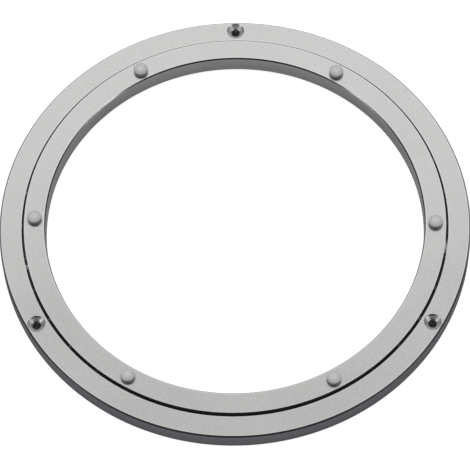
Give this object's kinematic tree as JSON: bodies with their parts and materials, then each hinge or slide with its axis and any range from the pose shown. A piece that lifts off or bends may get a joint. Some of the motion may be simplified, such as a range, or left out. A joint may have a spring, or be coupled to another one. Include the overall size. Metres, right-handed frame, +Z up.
{
  "type": "lazy susan turntable",
  "caption": "Low ring-shaped turntable bearing: a countersunk fixed outer ring carries a turning inner ring on balls, with soft pads that hold a platter.",
  "frame": {"origin": "on the turning axis, level with the underside of the outer ring", "axes": "+Z up along the turning axis; +Y towards one of the three countersunk holes"},
  "size_m": [0.3, 0.3, 0.0197],
  "materials": {
    "aluminium": "satin, finely blasted and clear anodised",
    "silicone": "translucent matt silicone",
    "nylon": "black moulded nylon",
    "ball_steel": "polished hardened steel",
    "plug_steel": "black oxide"
  },
  "bodies": {
    "fixed_ring": {"outer_ring": "aluminium", "filler_plug": "plug_steel"},
    "turntable": {"inner_ring": "aluminium", "pad_1": "silicone", "pad_2": "silicone", "pad_3": "silicone", "pad_4": "silicone", "pad_5": "silicone", "pad_6": "silicone"},
    "cage": {"ball_cage": "nylon"},
    "ball_01": {"ball_01": "ball_steel"},
    "ball_02": {"ball_02": "ball_steel"},
    "ball_03": {"ball_03": "ball_steel"},
    "ball_04": {"ball_04": "ball_steel"},
    "ball_05": {"ball_05": "ball_steel"},
    "ball_06": {"ball_06": "ball_steel"},
    "ball_07": {"ball_07": "ball_steel"},
    "ball_08": {"ball_08": "ball_steel"},
    "ball_09": {"ball_09": "ball_steel"},
    "ball_10": {"ball_10": "ball_steel"},
    "ball_11": {"ball_11": "ball_steel"},
    "ball_12": {"ball_12": "ball_steel"},
    "ball_13": {"ball_13": "ball_steel"},
    "ball_14": {"ball_14": "ball_steel"},
    "ball_15": {"ball_15": "ball_steel"},
    "ball_16": {"ball_16": "ball_steel"},
    "ball_17": {"ball_17": "ball_steel"},
    "ball_18": {"ball_18": "ball_steel"},
    "ball_19": {"ball_19": "ball_steel"},
    "ball_20": {"ball_20": "ball_steel"},
    "ball_21": {"ball_21": "ball_steel"},
    "ball_22": {"ball_22": "ball_steel"},
    "ball_23": {"ball_23": "ball_steel"},
    "ball_24": {"ball_24": "ball_steel"},
    "ball_25": {"ball_25": "ball_steel"},
    "ball_26": {"ball_26": "ball_steel"},
    "ball_27": {"ball_27": "ball_steel"},
    "ball_28": {"ball_28": "ball_steel"},
    "ball_29": {"ball_29": "ball_steel"},
    "ball_30": {"ball_30": "ball_steel"},
    "ball_31": {"ball_31": "ball_steel"},
    "ball_32": {"ball_32": "ball_steel"},
    "ball_33": {"ball_33": "ball_steel"},
    "ball_34": {"ball_34": "ball_steel"},
    "ball_35": {"ball_35": "ball_steel"},
    "ball_36": {"ball_36": "ball_steel"}
  },
  "joints": [
    {"name": "turntable_spin", "type": "hinge", "parent": "fixed_ring", "child": "turntable", "pos_m": [0, 0, 0], "axis": [0, 0, 1], "continuous": true},
    {"name": "cage_orbit", "type": "hinge", "parent": "fixed_ring", "child": "cage", "pos_m": [0, 0, 0], "axis": [0, 0, 1], "continuous": true},
    {"name": "ball_01_roll", "type": "hinge", "parent": "cage", "child": "ball_01", "pos_m": [0.13505, 0, 0.00795], "axis": [0, 0, 1], "continuous": true},
    {"name": "ball_02_roll", "type": "hinge", "parent": "cage", "child": "ball_02", "pos_m": [0.133, 0.02345, 0.00795], "axis": [0, 0, 1], "continuous": true},
    {"name": "ball_03_roll", "type": "hinge", "parent": "cage", "child": "ball_03", "pos_m": [0.12691, 0.04619, 0.00795], "axis": [0, 0, 1], "continuous": true},
    {"name": "ball_04_roll", "type": "hinge", "parent": "cage", "child": "ball_04", "pos_m": [0.11696, 0.06753, 0.00795], "axis": [0, 0, 1], "continuous": true},
    {"name": "ball_05_roll", "type": "hinge", "parent": "cage", "child": "ball_05", "pos_m": [0.10345, 0.08681, 0.00795], "axis": [0, 0, 1], "continuous": true},
    {"name": "ball_06_roll", "type": "hinge", "parent": "cage", "child": "ball_06", "pos_m": [0.08681, 0.10345, 0.00795], "axis": [0, 0, 1], "continuous": true},
    {"name": "ball_07_roll", "type": "hinge", "parent": "cage", "child": "ball_07", "pos_m": [0.06753, 0.11696, 0.00795], "axis": [0, 0, 1], "continuous": true},
    {"name": "ball_08_roll", "type": "hinge", "parent": "cage", "child": "ball_08", "pos_m": [0.04619, 0.12691, 0.00795], "axis": [0, 0, 1], "continuous": true},
    {"name": "ball_09_roll", "type": "hinge", "parent": "cage", "child": "ball_09", "pos_m": [0.02345, 0.133, 0.00795], "axis": [0, 0, 1], "continuous": true},
    {"name": "ball_10_roll", "type": "hinge", "parent": "cage", "child": "ball_10", "pos_m": [0, 0.13505, 0.00795], "axis": [0, 0, 1], "continuous": true},
    {"name": "ball_11_roll", "type": "hinge", "parent": "cage", "child": "ball_11", "pos_m": [-0.02345, 0.133, 0.00795], "axis": [0, 0, 1], "continuous": true},
    {"name": "ball_12_roll", "type": "hinge", "parent": "cage", "child": "ball_12", "pos_m": [-0.04619, 0.12691, 0.00795], "axis": [0, 0, 1], "continuous": true},
    {"name": "ball_13_roll", "type": "hinge", "parent": "cage", "child": "ball_13", "pos_m": [-0.06753, 0.11696, 0.00795], "axis": [0, 0, 1], "continuous": true},
    {"name": "ball_14_roll", "type": "hinge", "parent": "cage", "child": "ball_14", "pos_m": [-0.08681, 0.10345, 0.00795], "axis": [0, 0, 1], "continuous": true},
    {"name": "ball_15_roll", "type": "hinge", "parent": "cage", "child": "ball_15", "pos_m": [-0.10345, 0.08681, 0.00795], "axis": [0, 0, 1], "continuous": true},
    {"name": "ball_16_roll", "type": "hinge", "parent": "cage", "child": "ball_16", "pos_m": [-0.11696, 0.06753, 0.00795], "axis": [0, 0, 1], "continuous": true},
    {"name": "ball_17_roll", "type": "hinge", "parent": "cage", "child": "ball_17", "pos_m": [-0.12691, 0.04619, 0.00795], "axis": [0, 0, 1], "continuous": true},
    {"name": "ball_18_roll", "type": "hinge", "parent": "cage", "child": "ball_18", "pos_m": [-0.133, 0.02345, 0.00795], "axis": [0, 0, 1], "continuous": true},
    {"name": "ball_19_roll", "type": "hinge", "parent": "cage", "child": "ball_19", "pos_m": [-0.13505, 0, 0.00795], "axis": [0, 0, 1], "continuous": true},
    {"name": "ball_20_roll", "type": "hinge", "parent": "cage", "child": "ball_20", "pos_m": [-0.133, -0.02345, 0.00795], "axis": [0, 0, 1], "continuous": true},
    {"name": "ball_21_roll", "type": "hinge", "parent": "cage", "child": "ball_21", "pos_m": [-0.12691, -0.04619, 0.00795], "axis": [0, 0, 1], "continuous": true},
    {"name": "ball_22_roll", "type": "hinge", "parent": "cage", "child": "ball_22", "pos_m": [-0.11696, -0.06753, 0.00795], "axis": [0, 0, 1], "continuous": true},
    {"name": "ball_23_roll", "type": "hinge", "parent": "cage", "child": "ball_23", "pos_m": [-0.10345, -0.08681, 0.00795], "axis": [0, 0, 1], "continuous": true},
    {"name": "ball_24_roll", "type": "hinge", "parent": "cage", "child": "ball_24", "pos_m": [-0.08681, -0.10345, 0.00795], "axis": [0, 0, 1], "continuous": true},
    {"name": "ball_25_roll", "type": "hinge", "parent": "cage", "child": "ball_25", "pos_m": [-0.06753, -0.11696, 0.00795], "axis": [0, 0, 1], "continuous": true},
    {"name": "ball_26_roll", "type": "hinge", "parent": "cage", "child": "ball_26", "pos_m": [-0.04619, -0.12691, 0.00795], "axis": [0, 0, 1], "continuous": true},
    {"name": "ball_27_roll", "type": "hinge", "parent": "cage", "child": "ball_27", "pos_m": [-0.02345, -0.133, 0.00795], "axis": [0, 0, 1], "continuous": true},
    {"name": "ball_28_roll", "type": "hinge", "parent": "cage", "child": "ball_28", "pos_m": [0, -0.13505, 0.00795], "axis": [0, 0, 1], "continuous": true},
    {"name": "ball_29_roll", "type": "hinge", "parent": "cage", "child": "ball_29", "pos_m": [0.02345, -0.133, 0.00795], "axis": [0, 0, 1], "continuous": true},
    {"name": "ball_30_roll", "type": "hinge", "parent": "cage", "child": "ball_30", "pos_m": [0.04619, -0.12691, 0.00795], "axis": [0, 0, 1], "continuous": true},
    {"name": "ball_31_roll", "type": "hinge", "parent": "cage", "child": "ball_31", "pos_m": [0.06753, -0.11696, 0.00795], "axis": [0, 0, 1], "continuous": true},
    {"name": "ball_32_roll", "type": "hinge", "parent": "cage", "child": "ball_32", "pos_m": [0.08681, -0.10345, 0.00795], "axis": [0, 0, 1], "continuous": true},
    {"name": "ball_33_roll", "type": "hinge", "parent": "cage", "child": "ball_33", "pos_m": [0.10345, -0.08681, 0.00795], "axis": [0, 0, 1], "continuous": true},
    {"name": "ball_34_roll", "type": "hinge", "parent": "cage", "child": "ball_34", "pos_m": [0.11696, -0.06753, 0.00795], "axis": [0, 0, 1], "continuous": true},
    {"name": "ball_35_roll", "type": "hinge", "parent": "cage", "child": "ball_35", "pos_m": [0.12691, -0.04619, 0.00795], "axis": [0, 0, 1], "continuous": true},
    {"name": "ball_36_roll", "type": "hinge", "parent": "cage", "child": "ball_36", "pos_m": [0.133, -0.02345, 0.00795], "axis": [0, 0, 1], "continuous": true}
  ],
  "couplings": [
    {"joint": "cage_orbit", "follows": "turntable_spin", "ratio": 0.48889},
    {"joint": "ball_01_roll", "follows": "turntable_spin", "ratio": -22.497},
    {"joint": "ball_02_roll", "follows": "turntable_spin", "ratio": -22.497},
    {"joint": "ball_03_roll", "follows": "turntable_spin", "ratio": -22.497},
    {"joint": "ball_04_roll", "follows": "turntable_spin", "ratio": -22.497},
    {"joint": "ball_05_roll", "follows": "turntable_spin", "ratio": -22.497},
    {"joint": "ball_06_roll", "follows": "turntable_spin", "ratio": -22.497},
    {"joint": "ball_07_roll", "follows": "turntable_spin", "ratio": -22.497},
    {"joint": "ball_08_roll", "follows": "turntable_spin", "ratio": -22.497},
    {"joint": "ball_09_roll", "follows": "turntable_spin", "ratio": -22.497},
    {"joint": "ball_10_roll", "follows": "turntable_spin", "ratio": -22.497},
    {"joint": "ball_11_roll", "follows": "turntable_spin", "ratio": -22.497},
    {"joint": "ball_12_roll", "follows": "turntable_spin", "ratio": -22.497},
    {"joint": "ball_13_roll", "follows": "turntable_spin", "ratio": -22.497},
    {"joint": "ball_14_roll", "follows": "turntable_spin", "ratio": -22.497},
    {"joint": "ball_15_roll", "follows": "turntable_spin", "ratio": -22.497},
    {"joint": "ball_16_roll", "follows": "turntable_spin", "ratio": -22.497},
    {"joint": "ball_17_roll", "follows": "turntable_spin", "ratio": -22.497},
    {"joint": "ball_18_roll", "follows": "turntable_spin", "ratio": -22.497},
    {"joint": "ball_19_roll", "follows": "turntable_spin", "ratio": -22.497},
    {"joint": "ball_20_roll", "follows": "turntable_spin", "ratio": -22.497},
    {"joint": "ball_21_roll", "follows": "turntable_spin", "ratio": -22.497},
    {"joint": "ball_22_roll", "follows": "turntable_spin", "ratio": -22.497},
    {"joint": "ball_23_roll", "follows": "turntable_spin", "ratio": -22.497},
    {"joint": "ball_24_roll", "follows": "turntable_spin", "ratio": -22.497},
    {"joint": "ball_25_roll", "follows": "turntable_spin", "ratio": -22.497},
    {"joint": "ball_26_roll", "follows": "turntable_spin", "ratio": -22.497},
    {"joint": "ball_27_roll", "follows": "turntable_spin", "ratio": -22.497},
    {"joint": "ball_28_roll", "follows": "turntable_spin", "ratio": -22.497},
    {"joint": "ball_29_roll", "follows": "turntable_spin", "ratio": -22.497},
    {"joint": "ball_30_roll", "follows": "turntable_spin", "ratio": -22.497},
    {"joint": "ball_31_roll", "follows": "turntable_spin", "ratio": -22.497},
    {"joint": "ball_32_roll", "follows": "turntable_spin", "ratio": -22.497},
    {"joint": "ball_33_roll", "follows": "turntable_spin", "ratio": -22.497},
    {"joint": "ball_34_roll", "follows": "turntable_spin", "ratio": -22.497},
    {"joint": "ball_35_roll", "follows": "turntable_spin", "ratio": -22.497},
    {"joint": "ball_36_roll", "follows": "turntable_spin", "ratio": -22.497}
  ]
}
